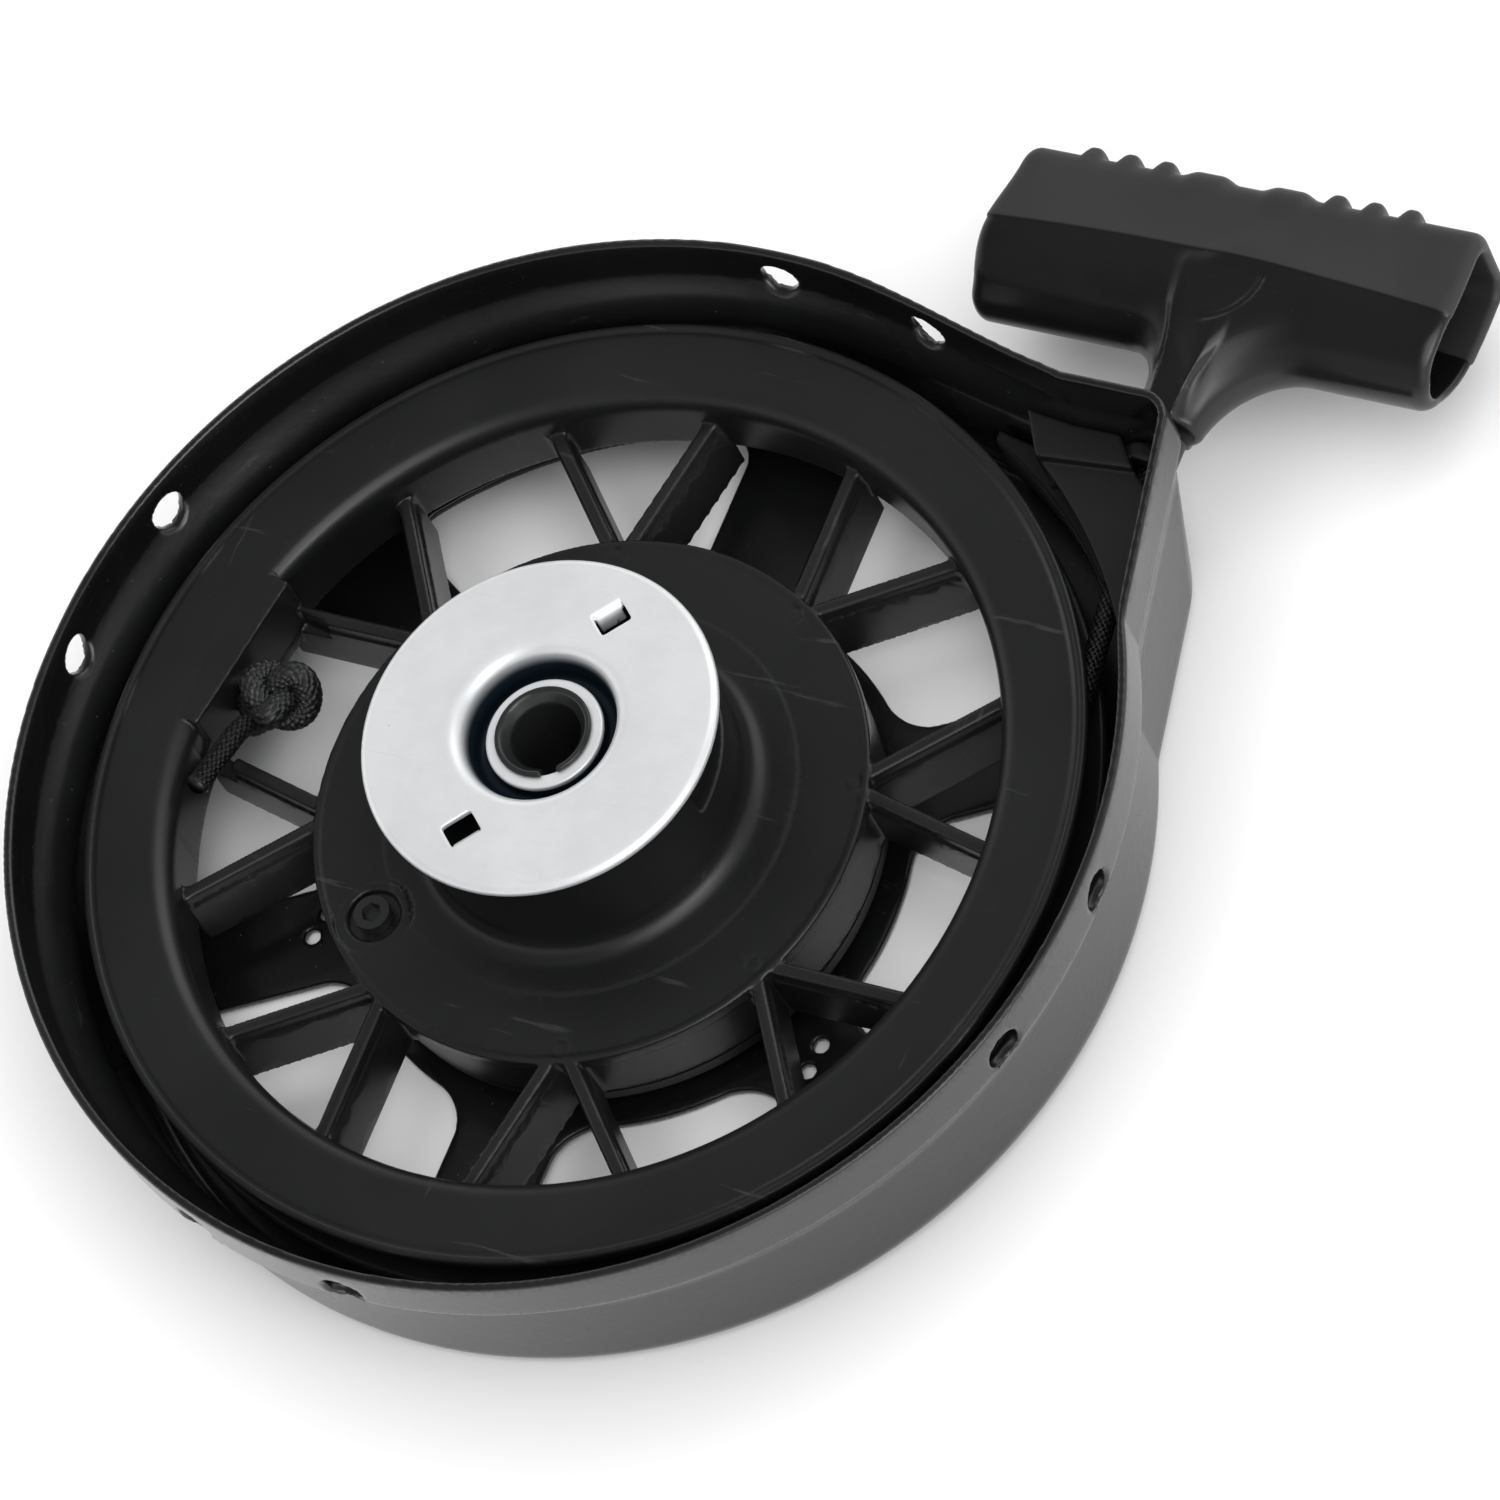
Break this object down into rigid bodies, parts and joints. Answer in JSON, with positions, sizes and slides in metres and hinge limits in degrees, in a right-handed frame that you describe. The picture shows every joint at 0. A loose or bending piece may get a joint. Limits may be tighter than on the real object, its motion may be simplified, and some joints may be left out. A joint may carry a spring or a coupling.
{
  "type": "recoil starter",
  "caption": "Round stamped-steel recoil starter for a small engine: spoked rope pulley, dogs under a plated retainer, and a T-handle at a wedge nose.",
  "frame": {"origin": "centre of the back plate's outer face, on the pulley's axis", "axes": "+Z along the pulley's axis, towards the engine; +Y the way the handle is pulled"},
  "size_m": [0.1962, 0.213, 0.0457],
  "materials": {
    "housing_paint": "semi-gloss black paint on stamped steel",
    "pulley_plastic": "satin black moulded plastic",
    "guide_plastic": "dark moulded plastic",
    "zinc_plate": "bright zinc plating with a faint blue tint",
    "black_oxide": "black oxide, lightly oiled",
    "spring_steel": "blued spring steel",
    "post_steel": "turned steel",
    "dog_metal": "sintered metal",
    "rope_fabric": "braided black nylon",
    "grip_plastic": "black moulded grip, matte front and glossy back"
  },
  "bodies": {
    "housing": {"housing_skirt": "housing_paint", "housing_plate": "housing_paint", "centre_post": "post_steel", "spring_pin": "black_oxide", "top_washer": "zinc_plate", "rope_guide": "guide_plastic", "rope_lead": "rope_fabric"},
    "pulley": {"pulley": "pulley_plastic", "spring_cover": "zinc_plate", "cover_screw": "black_oxide", "rewind_spring": "spring_steel", "rope_wound": "rope_fabric", "pulley_knot": "rope_fabric", "dog_spring_a": "spring_steel", "dog_spring_b": "spring_steel", "lower_washer": "zinc_plate", "brake_spring": "spring_steel"},
    "retainer": {"retainer": "zinc_plate"},
    "dog_a": {"starter_dog_a": "dog_metal"},
    "dog_b": {"starter_dog_b": "dog_metal"},
    "handle": {"handle_grip": "grip_plastic", "handle_insert": "zinc_plate", "handle_knot": "rope_fabric", "rope_pull": "rope_fabric"}
  },
  "joints": [
    {"name": "pulley_spin", "type": "hinge", "parent": "housing", "child": "pulley", "pos_m": [0, 0, 0.0203], "axis": [0, 0, 1], "range_deg": [0, 1440], "stiffness_Nm_per_rad": 0.004},
    {"name": "handle_pull", "type": "slide", "parent": "housing", "child": "handle", "axis": [0, 1, 0], "range_m": [0, 1.82]},
    {"name": "retainer_lag", "type": "hinge", "parent": "pulley", "child": "retainer", "pos_m": [0, 0, 0.0457], "axis": [0, 0, 1], "range_deg": [-30, 0], "stiffness_Nm_per_rad": 0.01},
    {"name": "dog_a_swing", "type": "hinge", "parent": "pulley", "child": "dog_a", "pos_m": [0.01743, -0.00245, 0.037], "axis": [0, 0, 1], "range_deg": [-45, 0]},
    {"name": "dog_b_swing", "type": "hinge", "parent": "pulley", "child": "dog_b", "pos_m": [-0.01743, 0.00245, 0.037], "axis": [0, 0, 1], "range_deg": [-45, 0]}
  ],
  "couplings": [
    {"joint": "handle_pull", "follows": "pulley_spin", "m_per_rad": 0.0724},
    {"joint": "dog_a_swing", "follows": "retainer_lag", "ratio": 1.5},
    {"joint": "dog_b_swing", "follows": "retainer_lag", "ratio": 1.5}
  ]
}
